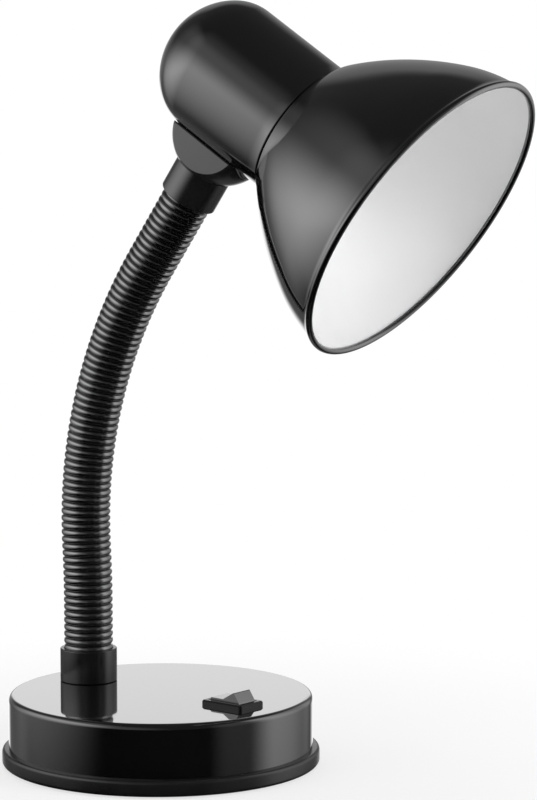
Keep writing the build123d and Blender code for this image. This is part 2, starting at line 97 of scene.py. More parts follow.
# Depth of the collar's socket, radii of the nipples' and the lampholder's ways, and the run from the
# neck's axis to the lamp socket.
COLLAR_SOCKET = 4 * MM
NIPPLE_WAY = 5.1 * MM
HOLDER_WAY = 20.2 * MM
SOCKET_AHEAD = 17.5 * MM

# The neck's plane is turned a little from +X. Its runs are (length, radius), a radius of 0 for straight ones.
NECK_X = middle("foot_collar", 0)
NECK_TURN = math.radians(9.0)
NECK_AHEAD = Vector((math.cos(NECK_TURN), math.sin(NECK_TURN), 0))
NECK_SIDE = Vector((-math.sin(NECK_TURN), math.cos(NECK_TURN), 0))
GENTLE, TIGHT = 500 * MM, 200 * MM
NECK_RUNS = (
    (21.4 * MM, 0.0),
    (GENTLE * math.radians(3.0), -GENTLE),
    (TIGHT * math.radians(36.5), TIGHT),
    (36.7 * MM, 0.0),
)
NECK_LENGTH = sum(length for length, _ in NECK_RUNS)

# The camera, fitted to the lamp's outline.
VIEW_FROM = Vector((921.2255, -1039.6195, 320.56)) * MM
VIEW_ALONG = Vector((-0.63410924, 0.76378827, -0.12055267))


class LampSizes(PropertyGroup):
    """Sizes of the pieces that are shaped here."""

    shell_radius: FloatProperty(
        name="Shell radius", description="Outside of the base's drum",
        default=SHELL_RADIUS, unit="LENGTH", precision=4,
    )
    shell_top: FloatProperty(
        name="Shell top", description="Height of the base's top face",
        default=SHELL_TOP, unit="LENGTH", precision=4,
    )
    shell_wall: FloatProperty(
        name="Shell wall", description="Sheet thickness of the base",
        default=1.2 * MM, unit="LENGTH", precision=4,
    )
    shell_edge: FloatProperty(
        name="Shell edge", description="Radius round the base's top edge",
        default=2.4 * MM, unit="LENGTH", precision=4,
    )
    flange_radius: FloatProperty(
        name="Flange radius", description="Outside of the foot ring",
        default=FLANGE_RADIUS, unit="LENGTH", precision=4,
    )
    flange_edge: FloatProperty(
        name="Flange edge", description="Rounding of the foot ring",
        default=1.6 * MM, unit="LENGTH", precision=4,
    )
    hose_radius: FloatProperty(
        name="Hose radius", description="Over the crests of the ribs",
        default=10.4 * MM, unit="LENGTH", precision=4,
    )
    rib_depth: FloatProperty(
        name="Rib depth", description="From crest to root",
        default=1.15 * MM, unit="LENGTH", precision=4,
    )
    hose_bore: FloatProperty(
        name="Hose bore", description="Inside radius of the hose",
        default=8.1 * MM, unit="LENGTH", precision=4,
    )
    rib_count: IntProperty(name="Ribs", description="Ribs along the neck", default=73, min=8, max=200)
    shade_wall: FloatProperty(
        name="Shade wall", description="Sheet thickness of the shade",
        default=0.8 * MM, unit="LENGTH", precision=4,
    )
    rim_bead: FloatProperty(
        name="Rim bead", description="Radius of the rolled rim",
        default=1.4 * MM, unit="LENGTH", precision=4,
    )
    housing_radius: FloatProperty(
        name="Housing radius", description="Outside of the lamp housing",
        default=28.85 * MM, unit="LENGTH", precision=4,
    )
    housing_front: FloatProperty(
        name="Housing front", description="End of the housing, from the neck's axis",
        default=22 * MM, unit="LENGTH", precision=4,
    )
    housing_drop: FloatProperty(
        name="Housing drop", description="Drum's axis below the shade's",
        default=1.55 * MM, unit="LENGTH", precision=4,
    )
    housing_skirt: FloatProperty(
        name="Housing skirt", description="Drum past its end wall, round the shade's neck",
        default=8.55 * MM, unit="LENGTH", precision=4,
    )
    housing_edge: FloatProperty(
        name="Housing edge", description="Rounding of the skirt's edge",
        default=0.3 * MM, unit="LENGTH", precision=4,
    )
    skirt_lean: FloatProperty(
        name="Skirt lean", description="Skirt's underside past its top, along the shade's crown",
        default=0.95 * MM, unit="LENGTH", precision=4,
    )
    skirt_flare: FloatProperty(
        name="Skirt flare", description="Swelling of the skirt at its edge",
        default=0.35 * MM, unit="LENGTH", precision=4,
    )
    flare_run: FloatProperty(
        name="Flare run", description="Length of the skirt that swells",
        default=4.5 * MM, unit="LENGTH", precision=4,
    )
    dome_start: FloatProperty(
        name="Dome start", description="Where the dome begins, behind the neck's axis",
        default=14.3 * MM, unit="LENGTH", precision=4,
    )
    dome_depth: FloatProperty(
        name="Dome depth", description="From the dome's start to its crown",
        default=24.7 * MM, unit="LENGTH", precision=4,
    )
    dome_corner: FloatProperty(
        name="Dome corner", description="Radius between drum and crown",
        default=20.3 * MM, unit="LENGTH", precision=4,
    )
    boss_radius: FloatProperty(
        name="Boss radius", description="Round underside that sits in the saddle",
        default=12.6 * MM, unit="LENGTH", precision=4,
    )
    boss_drop: FloatProperty(
        name="Boss drop", description="Boss centre below the head's axis",
        default=21 * MM, unit="LENGTH", precision=4,
    )
    boss_rear: FloatProperty(
        name="Boss rear", description="Rear end of the boss, behind the neck's axis",
        default=15.5 * MM, unit="LENGTH", precision=4,
    )
    boss_front: FloatProperty(
        name="Boss front", description="Front end of the boss",
        default=19 * MM, unit="LENGTH", precision=4,
    )
    boss_edge: FloatProperty(
        name="Boss edge", description="Rounding of the boss's ends",
        default=1.2 * MM, unit="LENGTH", precision=4,
    )
    shade_neck: FloatProperty(
        name="Shade neck", description="Radius of the shade's neck",
        default=25.6 * MM, unit="LENGTH", precision=4,
    )
    shade_run: FloatProperty(
        name="Neck run", description="Length of the shade's neck",
        default=7.8 * MM, unit="LENGTH", precision=4,
    )
    shade_throat: FloatProperty(
        name="Throat", description="Hollow radius between neck and bell",
        default=0.8 * MM, unit="LENGTH", precision=4,
    )
    shade_crown: FloatProperty(
        name="Crown", description="Round radius at the top of the bell",
        default=15 * MM, unit="LENGTH", precision=4,
    )
    thread_pitch: FloatProperty(
        name="Thread pitch", description="Rolled thread of the lampholder",
        default=3.63 * MM, unit="LENGTH", precision=5,
    )


class LampFinishes(PropertyGroup):
    """Colours of the finishes."""

    gloss_black: FloatVectorProperty(
        name="Gloss black", description="Enamel of base, housing and shade",
        default=(0.003, 0.003, 0.0033), subtype="COLOR",
    )
    satin_black: FloatVectorProperty(
        name="Satin black", description="Moulded collars, foot ring and switch",
        default=(0.007, 0.007, 0.0074), subtype="COLOR",
    )
    hose_black: FloatVectorProperty(
        name="Hose black", description="Ribbed sleeve",
        default=(0.006, 0.006, 0.0064), subtype="COLOR",
    )
    inside_white: FloatVectorProperty(
        name="Inside white", description="Inside of the shade",
        default=(0.78, 0.78, 0.785), subtype="COLOR",
    )
    holder_white: FloatVectorProperty(
        name="Holder white", description="Lampholder moulding",
        default=(0.74, 0.73, 0.7), subtype="COLOR",
    )
    plated_steel: FloatVectorProperty(
        name="Plated steel", description="Screws, nuts and core",
        default=(0.6, 0.6, 0.61), subtype="COLOR",
    )
    brass: FloatVectorProperty(
        name="Brass", description="Contacts, terminals and screw shell",
        default=(0.72, 0.52, 0.22), subtype="COLOR",
    )
    raw_iron: FloatVectorProperty(
        name="Raw iron", description="Ballast casting",
        default=(0.09, 0.088, 0.085), subtype="COLOR",
    )


class Field:
    """A socket of a node tree, with arithmetic that adds the nodes it needs."""

    def __init__(self, tree, socket=None):
        self.tree, self.socket = tree, socket

    def add(self, kind, settings=None, inputs=None, output=0):
        """A new node: its settings first, then the values or links of its sockets."""
        node = self.tree.nodes.new(kind)
        for key, value in (settings or {}).items():
            setattr(node, key, value)
        for key, value in (inputs or {}).items():
            if isinstance(value, Field):
                self.tree.links.new(value.socket, node.inputs[key])
            else:
                node.inputs[key].default_value = value
        return Field(self.tree, node.outputs[output]) if len(node.outputs) else node

    def math(self, operation, other, swapped=False):
        """A Math node on this value and another, in this order or swapped."""
        first, second = (other, self) if swapped else (self, other)
        return self.add("ShaderNodeMath", {"operation": operation}, {0: first, 1: second})

    def __add__(self, other):
        return self.math("ADD", other)

    def __sub__(self, other):
        return self.math("SUBTRACT", other)

    def __rsub__(self, other):
        return self.math("SUBTRACT", other, swapped=True)

    def __mul__(self, other):
        return self.math("MULTIPLY", other)

    def __truediv__(self, other):
        return self.math("DIVIDE", other)

    __radd__ = __add__
    __rmul__ = __mul__

    def step(self, low, high, start=0.0, end=1.0):
        """A smooth rise from start to end as the value goes from low to high."""
        return self.add(
            "ShaderNodeMapRange",
            {"interpolation_type": "SMOOTHSTEP"},
            {"Value": self, "From Min": low, "From Max": high, "To Min": start, "To Max": end},
        )

    def blend_to(self, first, second):
        """Colour between two, by this value."""
        mixed = self.add("ShaderNodeMix", {"data_type": "RGBA"}, {0: self}, output=2)
        for place, colour in ((6, first), (7, second)):
            if isinstance(colour, Field):
                self.tree.links.new(colour.socket, mixed.socket.node.inputs[place])
            else:
                mixed.socket.node.inputs[place].default_value = (*colour, 1.0)
        return mixed


def new_finish(name):
    """An empty material with its shader, and a field to build on."""
    material = bpy.data.materials.new(name)
    material.use_nodes = True
    tree = material.node_tree
    shader = next(node for node in tree.nodes if node.type == "BSDF_PRINCIPLED")
    return material, shader, Field(tree)


def set_shader(field, shader, **values):
    """Values and links of the shader's sockets."""
    for key, value in values.items():
        socket = shader.inputs[key.replace("_", " ")]
        if isinstance(value, Field):
            field.tree.links.new(value.socket, socket)
        else:
            socket.default_value = value


def object_noise(field, scale, detail, rough=0.5, stretch=None):
    """Noise in the object's own space, scale counted per metre."""
    where = field.add("ShaderNodeTexCoord", output=3)
    if stretch:
        where = field.add("ShaderNodeMapping", inputs={"Vector": where, "Scale": stretch})
    return field.add(
        "ShaderNodeTexNoise",
        inputs={"Vector": where, "Scale": scale, "Detail": detail, "Roughness": rough},
    )


def bump(field, height, strength, distance):
    """Normal of a surface that a height roughens."""
    return field.add("ShaderNodeBump", inputs={"Height": height, "Strength": strength, "Distance": distance})


def toned(colour, factor):
    """A colour made darker or lighter by a factor."""
    return tuple(min(1.0, channel * factor) for channel in colour)


def enamel_finish(name, colour, gloss=0.045):
    """Sprayed gloss enamel: deep colour, clear coat, faint orange peel and dust."""
    material, shader, field = new_finish(name)
    cloud = object_noise(field, scale=22.0, detail=2.0)
    dust = object_noise(field, scale=2600.0, detail=1.0).step(0.66, 0.74)
    peel = object_noise(field, scale=420.0, detail=2.0)
    tone = cloud.step(0.3, 0.7).blend_to(toned(colour, 0.85), toned(colour, 1.2))
    tone = (dust * 0.35).blend_to(tone, toned(colour, 5.0))
    set_shader(
        field, shader,
        Base_Color=tone, Roughness=gloss + dust * 0.05 + cloud.step(0.35, 0.75) * 0.015,
        IOR=1.55, Coat_Weight=1.0, Coat_Roughness=0.03, Coat_IOR=1.6,
        Normal=bump(field, peel, strength=0.02, distance=0.3 * MM),
    )
    return material


def moulded_finish(name, colour, rough, grain, depth, gloss=0.5, lacquer=0.0):
    """Injection-moulded plastic: fine spark grain with polished and rubbed patches, lacquered or bare."""
    material, shader, field = new_finish(name)
    cloud = object_noise(field, scale=60.0, detail=3.0)
    spark = object_noise(field, scale=grain, detail=4.0, rough=0.6)
    tone = cloud.step(0.3, 0.75).blend_to(toned(colour, 0.8), toned(colour, 1.35))
    set_shader(
        field, shader,
        Base_Color=tone, Roughness=rough + (cloud - 0.5) * 0.12 + (spark - 0.5) * 0.1,
        Specular_IOR_Level=gloss, Coat_Weight=lacquer, Coat_Roughness=0.08, Coat_IOR=1.8,
        Normal=bump(field, spark, strength=depth, distance=0.2 * MM),
    )
    return material


def white_enamel_finish(name, colour):
    """White enamel on the inside of the shade, with a faint orange peel."""
    material, shader, field = new_finish(name)
    cloud = object_noise(field, scale=30.0, detail=3.0)
    peel = object_noise(field, scale=500.0, detail=2.0)
    tone = cloud.step(0.3, 0.7).blend_to(toned(colour, 0.985), toned(colour, 1.01))
    set_shader(
        field, shader,
        Base_Color=tone, Roughness=0.34 + (cloud - 0.5) * 0.06,
        Specular_IOR_Level=0.4, Normal=bump(field, peel, strength=0.03, distance=0.3 * MM),
    )
    return material


def metal_finish(name, colour, rough):
    """Plated or plain metal: fine turning marks and a little tarnish."""
    material, shader, field = new_finish(name)
    marks = object_noise(field, scale=500.0, detail=3.0, rough=0.6, stretch=(1.0, 1.0, 14.0))
    tarnish = object_noise(field, scale=140.0, detail=4.0).step(0.48, 0.72)
    tone = tarnish.blend_to(colour, toned(colour, 0.55))
    set_shader(
        field, shader,
        Base_Color=tone, Metallic=1.0, Roughness=rough + (marks - 0.5) * 0.16 + tarnish * 0.14,
        Normal=bump(field, marks, strength=0.08, distance=0.2 * MM),
    )
    return material


def casting_finish(name, colour):
    """Sand casting: coarse skin with rusty patches."""
    material, shader, field = new_finish(name)
    skin = object_noise(field, scale=700.0, detail=6.0, rough=0.65)
    rust = object_noise(field, scale=90.0, detail=5.0).step(0.55, 0.7)
    tone = (rust * 0.6).blend_to(skin.blend_to(toned(colour, 0.7), toned(colour, 1.4)), (0.12, 0.05, 0.02))
    set_shader(
        field, shader,
        Base_Color=tone, Metallic=0.55 - rust * 0.45, Roughness=0.62 + (skin - 0.5) * 0.3,
        Normal=bump(field, skin, strength=0.5, distance=0.4 * MM),
    )
    return material


def foam_finish(name):
    """Dense foam sheet: matt, with open pores."""
    material, shader, field = new_finish(name)
    where = field.add("ShaderNodeTexCoord", output=3)
    pores = field.add("ShaderNodeTexVoronoi", inputs={"Vector": where, "Scale": 1500.0})
    scuff = object_noise(field, scale=80.0, detail=4.0).step(0.5, 0.75)
    tone = scuff.blend_to((0.018, 0.018, 0.019), (0.04, 0.04, 0.041))
    set_shader(
        field, shader,
        Base_Color=tone, Roughness=0.88 - scuff * 0.1, Specular_IOR_Level=0.25,
        Normal=bump(field, pores, strength=0.35, distance=0.4 * MM),
    )
    return material


def arc(centre, radius, start, end, steps):
    """Points of a circle's arc, angles in degrees, as (along, out) pairs."""
    angles = [math.radians(start + (end - start) * step / steps) for step in range(steps + 1)]
    return [(centre[0] + radius * math.cos(angle), centre[1] + radius * math.sin(angle)) for angle in angles]


def tangent_arc(start, heading, end, steps):
    """Points of the arc that leaves start along heading (degrees) and ends at end; also its last heading."""
    chord = math.degrees(math.atan2(end[1] - start[1], end[0] - start[0]))
    turn = 2 * (chord - heading)
    radius = math.dist(start, end) / (2 * math.sin(math.radians(turn / 2)))
    side = math.radians(heading + 90)
    centre = (start[0] + radius * math.cos(side), start[1] + radius * math.sin(side))
    first = math.degrees(math.atan2(start[1] - centre[1], start[0] - centre[0]))
    return arc(centre, abs(radius), first, first + turn, steps), heading + turn


def full_turn(segments):
    """Angles of evenly spaced points round a circle."""
    return [2 * math.pi * step / segments for step in range(segments)]


def upright(x=0.0, y=0.0):
    """Placement of a turned piece that stands on end."""
    return Matrix.Translation((x, y, 0))


def inlet_frame():
    """Placement of the cord's inlet, with local Z along +X."""
    return Matrix.Translation((0, 0, middle("cord_bush", 2))) @ Matrix.Rotation(math.radians(90), 4, "Y")


def head_frame():
    """Placement of the head: its axis, towards the shade's mouth, becomes local Z."""
    mount = next(mount for mount in frame["record"]["mounts"] if mount["name"] == "lamp_socket")
    axis = Vector(mount["axis"]).normalized()
    across = axis.cross(UP).normalized()
    turn = Matrix((across.cross(axis), across, axis)).transposed().to_4x4()
    return Matrix.Translation(Vector(mount["pos_m"]) - axis * SOCKET_AHEAD) @ turn


def link_piece(name, data):
    """A new object in the scene that shows a mesh, a lamp or a camera."""
    piece = bpy.data.objects.new(name, data)
    bpy.context.scene.collection.objects.link(piece)
    return piece


def meshed(name, shape, finishes=(), placement=None):
    """A new piece from a built shape, placed and given its finishes."""
    mesh = bpy.data.meshes.new(name)
    shape.to_mesh(mesh)
    shape.free()
    if placement is not None:
        mesh.transform(placement)
    for finish in finishes:
        mesh.materials.append(finish)
    return link_piece(name, mesh)


def finish_mesh(piece, crease=CREASE):
    """Smooth shading with creases kept at real edges."""
    piece.data.polygons.foreach_set("use_smooth", [True] * len(piece.data.polygons))
    piece.data.set_sharp_from_angle(angle=math.radians(crease))
    return piece


def skinned(name, rings, finishes, placement=None, bands=None, closed=True, crease=CREASE):
    """A piece whose skin runs from ring to ring of points, and back to the first or capped at both ends."""
    shape = bmesh.new()
    loops = [[shape.verts.new(point) for point in ring] for ring in rings]
    for place, low in enumerate(loops if closed else loops[:-1]):
        high = loops[(place + 1) % len(loops)]
        if all((loop[0].co - loop[1].co).length < MERGE for loop in (low, high)):
            continue
        for step in range(len(low)):
            after = (step + 1) % len(low)
            face = shape.faces.new((low[step], low[after], high[after], high[step]))
            face.material_index = bands[place] if bands else 0
    if not closed:
        shape.faces.new(loops[0])
        shape.faces.new(loops[-1])
    bmesh.ops.remove_doubles(shape, verts=shape.verts, dist=MERGE)
    bmesh.ops.recalc_face_normals(shape, faces=shape.faces)
    return finish_mesh(meshed(name, shape, finishes, placement), crease)


def turned(name, profile, placement, finishes, segments=160, bands=None, crease=CREASE):
    """A piece turned on a lathe: a closed profile of (along, out) points swept round local Z."""
    turns = full_turn(segments)
    rings = [
        [(out * math.cos(turn), out * math.sin(turn), along) for turn in turns]
        for along, out in profile
    ]
    return skinned(name, rings, finishes, placement, bands, crease=crease)


def rod(name, radius, low, high, placement, segments=64):
    """A plain round bar along local Z, for cutting."""
    return turned(name, [(low, 0.0), (low, radius), (high, radius), (high, 0.0)], placement, [], segments)


def block(name, low, high, placement=None):
    """A box between two corners, for cutting."""
    shape = bmesh.new()
    bmesh.ops.create_cube(shape, size=1.0)
    for vert in shape.verts:
        vert.co = Vector((low[axis] if vert.co[axis] < 0 else high[axis]) for axis in range(3))
    return meshed(name, shape, placement=placement)


def cut(piece, cutters):
    """Cuts pieces out of another and keeps the result as its mesh."""
    for cutter in cutters:
        modifier = piece.modifiers.new("cut", "BOOLEAN")
        modifier.object, modifier.operation, modifier.solver = cutter, "DIFFERENCE", "EXACT"
    graph = bpy.context.evaluated_depsgraph_get()
    mesh = bpy.data.meshes.new_from_object(piece.evaluated_get(graph))
    piece.modifiers.clear()
    old = piece.data
    piece.data = mesh
    bpy.data.meshes.remove(old)
    for cutter in cutters:
        spare = cutter.data
        bpy.data.objects.remove(cutter)
        bpy.data.meshes.remove(spare)
    finish_mesh(piece)


def carry(piece, body, slot, *nodes):
    """Hangs a piece on its body, with the nodes that it stands for."""
    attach(piece, body)
    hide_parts(*nodes)


def dress(node, finish):
    """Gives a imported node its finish."""
    piece = frame["nodes"][node]
    if not piece.material_slots:
        piece.data.materials.append(finish)
    for place in piece.material_slots:
        place.material = finish


class LAMP_OT_base(Operator):
    """Base: drum, foot ring and pad"""

    bl_idname = "lamp.base"
    bl_label = "Base"

    def execute(self, context):
        sizes, tones = context.scene.lamp_sizes, context.scene.lamp_finishes
        enamel = enamel_finish("base_enamel", tones.gloss_black)
        satin = moulded_finish("foot_ring_plastic", tones.satin_black, rough=0.3, grain=1200.0, depth=0.05)
        out, wall, edge, top = sizes.shell_radius, sizes.shell_wall, sizes.shell_edge, sizes.shell_top
        corner = (top - edge, out - edge)
        # A ring just inside the rounded edge keeps the shading of the top flat.
        flat_from = out - edge - 0.3 * MM
        profile = [(SHELL_FOOT, out), *arc(corner, edge, 90, 0, 14), (top, flat_from)]
        profile += [(top, 0.0), (top - wall, 0.0), *arc(corner, edge - wall, 0, 90, 8)]
        profile += [(SHELL_FOOT, out - wall)]
        drum = turned("base_drum", profile, upright(), [enamel], segments=224)
        low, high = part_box("switch_frame")
        bezel_x, bezel_y, cord_way = 0.9 * MM, 1.0 * MM, 4.5 * MM
        under, over = top - 4 * wall, top + wall
        cut(drum, [
            rod("neck_hole", NIPPLE_WAY, under, over, upright(NECK_X)),
            block(
                "switch_hole",
                (low[0] + bezel_x, low[1] + bezel_y, under),
                (high[0] - bezel_x, high[1] - bezel_y, over),
            ),
            rod("cord_hole", cord_way, -out - wall, -out + 3 * wall, inlet_frame()),
        ])
        carry(drum, "base", "shell_paint", "base_shell")

        pad_low, pad_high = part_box("base_pad")
        pad_out, pad_top = pad_high[0], pad_high[2]
        ring, ease = sizes.flange_radius, sizes.flange_edge
        foot, spigot = span("bottom_cover", 2)
        play, spigot_wall, floor_wall = 0.1 * MM, 2 * MM, 2.4 * MM
        inner, recess, floor_top = out - wall - play, pad_out + play, pad_top + floor_wall
        profile = [(pad_top, 0.0), (pad_top, recess), (foot, recess)]
        profile += arc((foot + ease, ring - ease), ease, 180, 90, 10)
        profile += arc((SHELL_FOOT - ease, ring - ease), ease, 90, 0, 10)
        profile += [(SHELL_FOOT, inner), (spigot, inner), (spigot, inner - spigot_wall)]
        profile += [(floor_top, inner - spigot_wall), (floor_top, 0.0)]
        tray = turned("foot_ring", profile, upright(), [satin], segments=224)
        post_radius, screw_seat, screw_way = 3.5 * MM, 3.1 * MM, 4 * MM
        screw_low, screw_high = -MM, 2 * MM
        bush_way, bush_depth = 6.45 * MM, 4 * MM
        reach = span("cover_posts", 0)[1] - post_radius
        posts = [upright(x * reach, y * reach) for x in (-1, 1) for y in (-1, 1)]
        seats = [rod("screw_seat", screw_seat, screw_low, screw_high, post) for post in posts]
        cut(tray, [*seats, rod("bush_notch", bush_way, -inner, bush_depth - inner, inlet_frame())])
        carry(tray, "base", "satin_plastic", "bottom_cover")

        soft = 0.35 * MM
        profile = [(pad_low[2], 0.0), *arc((pad_low[2] + soft, pad_out - soft), soft, 180, 90, 6)]
        profile += [(pad_top, pad_out), (pad_top, 0.0)]
        pad = turned("base_foam", profile, upright(), [foam_finish("pad_foam")])
        cut(pad, [rod("screw_way", screw_way, screw_low, screw_high, post) for post in posts])
        carry(pad, "base", "pad_foam", "base_pad")
        return {"FINISHED"}


class LAMP_OT_switch(Operator):
    """Rocker switch and the cord's inlet bush"""

    bl_idname = "lamp.switch"
    bl_label = "Switch"

    def execute(self, context):
        satin = context.scene.lamp_finishes.satin_black
        dress("switch_frame", moulded_finish(
            "switch_plastic", satin, rough=0.15, grain=1500.0, depth=0.03, gloss=0.25,
        ))
        dress("switch_rocker", moulded_finish(
            "rocker_plastic", toned(satin, 1.4), rough=0.11, grain=1600.0, depth=0.02,
            gloss=0.55, lacquer=0.7,
        ))
        dress("cord_bush", moulded_finish("bush_plastic", satin, rough=0.42, grain=1200.0, depth=0.08))
        return {"FINISHED"}


class LAMP_OT_collars(Operator):
    """Collar at the foot of the neck, and the knuckle under the head"""

    bl_idname = "lamp.collars"
    bl_label = "Collars"

    def execute(self, context):
        sizes, tones = context.scene.lamp_sizes, context.scene.lamp_finishes
        satin = moulded_finish(
            "collar_plastic", toned(tones.satin_black, 0.6), rough=0.2, grain=1100.0, depth=0.02, gloss=0.6,
        )
        out = half_width("foot_collar")
        low, high = span("foot_collar", 2)
        ease, play, socket = 0.5 * MM, 0.1 * MM, high - COLLAR_SOCKET
        mouth = sizes.hose_radius + play
        profile = [(low, NIPPLE_WAY), *arc((low + ease, out - ease), ease, 180, 90, 6)]
        profile += arc((high - ease, out - ease), ease, 90, 0, 6)
        profile += [(high, mouth), (socket, mouth), (socket, NIPPLE_WAY)]
        collar = turned("foot_collar_ring", profile, upright(NECK_X), [satin], segments=96)
        carry(collar, "base", "satin_plastic", "foot_collar")
        dress("head_knuckle", moulded_finish(
            "knuckle_plastic", toned(tones.satin_black, 1.5), rough=0.2, grain=1100.0, depth=0.02, gloss=0.75,
        ))
        return {"FINISHED"}


def neck_station(distance):
    """Place and heading of the neck's centreline, a distance along it from the foot collar's socket."""
    lean, ahead, height, left = 0.0, 0.0, COLLAR_TOP - COLLAR_SOCKET, distance
    for length, radius in NECK_RUNS:
        step = min(left, length)
        if radius == 0:
            ahead += step * math.sin(lean)
            height += step * math.cos(lean)
        else:
            after = lean + step / radius
            ahead += radius * (math.cos(lean) - math.cos(after))
            height += radius * (math.sin(after) - math.sin(lean))
            lean = after
        left -= step
    heading = NECK_AHEAD * math.sin(lean) + UP * math.cos(lean)
    return Vector((NECK_X, 0, height)) + NECK_AHEAD * ahead, heading


class LAMP_OT_neck(Operator):
    """Core of the neck, and its ribbed hose in lengths that each span one joint"""

    bl_idname = "lamp.neck"
    bl_label = "Neck"

    def execute(self, context):
        sizes, tones = context.scene.lamp_sizes, context.scene.lamp_finishes
        finish = moulded_finish(
            "hose_plastic", tones.hose_black, rough=0.12, grain=1300.0, depth=0.015, gloss=1.0, lacquer=1.0,
        )
        pitch = NECK_LENGTH / sizes.rib_count
        root, crest = sizes.hose_radius - sizes.rib_depth, sizes.hose_radius
        # Half-round section of a rib: share of the pitch, and share of the depth.
        rising = [(0.0, 0.0), (0.04, 0.38), (0.1, 0.6), (0.2, 0.8), (0.34, 0.95)]
        waves = rising + [(0.5, 1.0)] + [(1 - along, rise) for along, rise in reversed(rising[1:])]
        order = [f"neck_{kind}_{turn}" for turn in range(1, 5) for kind in ("bend", "sway")]
        end_run, bend_reach = 16 * MM, 10.6 * MM
        step = (NECK_LENGTH - 2 * end_run) / (len(order) - 1)
        places = [end_run + step * place for place in range(len(order))]
        ribs = [0] + [round((place + step / 2) / pitch) for place in places[:-1]] + [sizes.rib_count]
        turns = full_turn(56)
        for length, (name, place) in enumerate(zip(order, places)):
            stations = []
            for rib in range(ribs[length], ribs[length + 1]):
                stations += [((rib + wave) * pitch, root + (crest - root) * rise) for wave, rise in waves]
            stations.append((ribs[length + 1] * pitch, root))
            inner = [(distance, sizes.hose_bore) for distance, _ in reversed(stations[::len(waves)])]
            rings = []
            for distance, radius in stations + inner:
                centre, heading = neck_station(distance)
                other = heading.cross(NECK_SIDE)
                rings.append([
                    centre + NECK_SIDE * (radius * math.cos(turn)) + other * (radius * math.sin(turn))
                    for turn in turns
                ])
            piece = skinned(f"neck_hose_{length + 1}", rings, [finish], crease=SOFT_CREASE)
            start, _ = neck_station(place - bend_reach)
            end, _ = neck_station(place + bend_reach)
            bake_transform(piece)
            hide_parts("neck_hose")
        steel = metal_finish("core_steel", tones.plated_steel, rough=0.32)
        for link in range(len(order) + 1):
            dress(f"neck_core_{link}", steel)
        return {"FINISHED"}


def hull_outline(large, small, drop):
    """Outline round two circles, the small one a drop below the large one, as (lift, across) points."""
    lean = math.degrees(math.asin((large - small) / drop))
    over = arc((0.0, 0.0), large, -90 - lean, 90 + lean, 72)
    return over + arc((-drop, 0.0), small, 90 + lean, 270 - lean, 36)


class LAMP_OT_housing(Operator):
    """Dome-ended housing, whose underside draws in to a boss"""

    bl_idname = "lamp.housing"
    bl_label = "Housing"

    def execute(self, context):
        sizes, tones = context.scene.lamp_sizes, context.scene.lamp_finishes
        gloss = enamel_finish("housing_gloss", tones.gloss_black, gloss=0.06)
        out, wall, drop = sizes.housing_radius, 1.2 * MM, sizes.housing_drop
        front, ease, swell = sizes.housing_front, sizes.housing_edge, sizes.skirt_flare
        dome, bend = -sizes.dome_start, sizes.dome_corner
        inset, rise = out - bend, sizes.dome_depth - bend
        shift = (inset**2 - rise**2) / (2 * rise)
        cap = sizes.dome_depth + shift
        turn = math.degrees(math.atan2(shift, inset))

        def skin(sunk):
            points = arc((dome, inset), bend - sunk, 90, 90 + turn, 24)
            return points + arc((dome + shift, 0.0), cap - sunk, 90 + turn, 180, 28)[1:]

        head = head_frame()
        own = head @ Matrix.Translation((-drop, 0, 0))
        lip = front + sizes.housing_skirt - ease
        outer = [(front, 0.0), (front, out - wall), *arc((lip, out - wall + ease), ease, -90, 0, 6)]
        outer += arc((lip, out + swell - ease), ease, 0, 90, 6)
        flare_steps = 12
        for left in (1 - step / flare_steps for step in range(1, flare_steps + 1)):
            outer.append((lip - sizes.flare_run * (1 - left), out + swell * left**2))
        outer += skin(0.0)
        inner = [(front - wall, 0.0), (front - wall, out - wall), *skin(wall)]
        drum = turned("housing_drum", outer + list(reversed(inner)), own, [gloss], segments=200)
        home = own.inverted()
        for vertex in drum.data.vertices:
            place = home @ vertex.co
            if place.z > front:
                past, below = (place.z - front) / sizes.housing_skirt, (1 - place.x / out) / 2
                place.z += sizes.skirt_lean * past * below
                vertex.co = own @ place

        rounding = [math.radians(90 * step / 8) for step in range(9)]
        inlay = 0.02 * MM
        rings = []
        for way, end, angles in (
            (1, -sizes.boss_rear, rounding), (-1, sizes.boss_front, list(reversed(rounding))),
        ):
            for angle in angles:
                sunk = sizes.boss_edge * (1 - math.sin(angle)) + inlay
                along = end + way * sizes.boss_edge * (1 - math.cos(angle))
                outline = hull_outline(out - sunk, sizes.boss_radius - sunk, sizes.boss_drop - drop)
                rings.append([(lift, across, along) for lift, across in outline])
        boss = skinned("housing_boss", rings, [gloss], own, closed=False)
        down = head @ Matrix.Rotation(math.radians(-90), 4, "Y")
        seat_radius, seat_low, seat_high = 9.5 * MM, 10 * MM, 29.6 * MM
        way_low, way_high = 20 * MM, 40 * MM
        cut(boss, [
            rod("housing_inside", out - wall / 2, -3 * out, 3 * out, own, segments=200),
            rod("nipple_way", NIPPLE_WAY, way_low, way_high, down, segments=48),
            rod("nut_seat", seat_radius, seat_low, seat_high, down),
        ])
        cut(drum, [
            rod("nut_seat", seat_radius, seat_low, seat_high, down),
            rod("holder_way", HOLDER_WAY, front - 2 * wall, front + wall, head, segments=120),
        ])
        carry(drum, "head", "housing_plastic", "lamp_housing")
        carry(boss, "head", "housing_plastic", "lamp_housing")
        return {"FINISHED"}


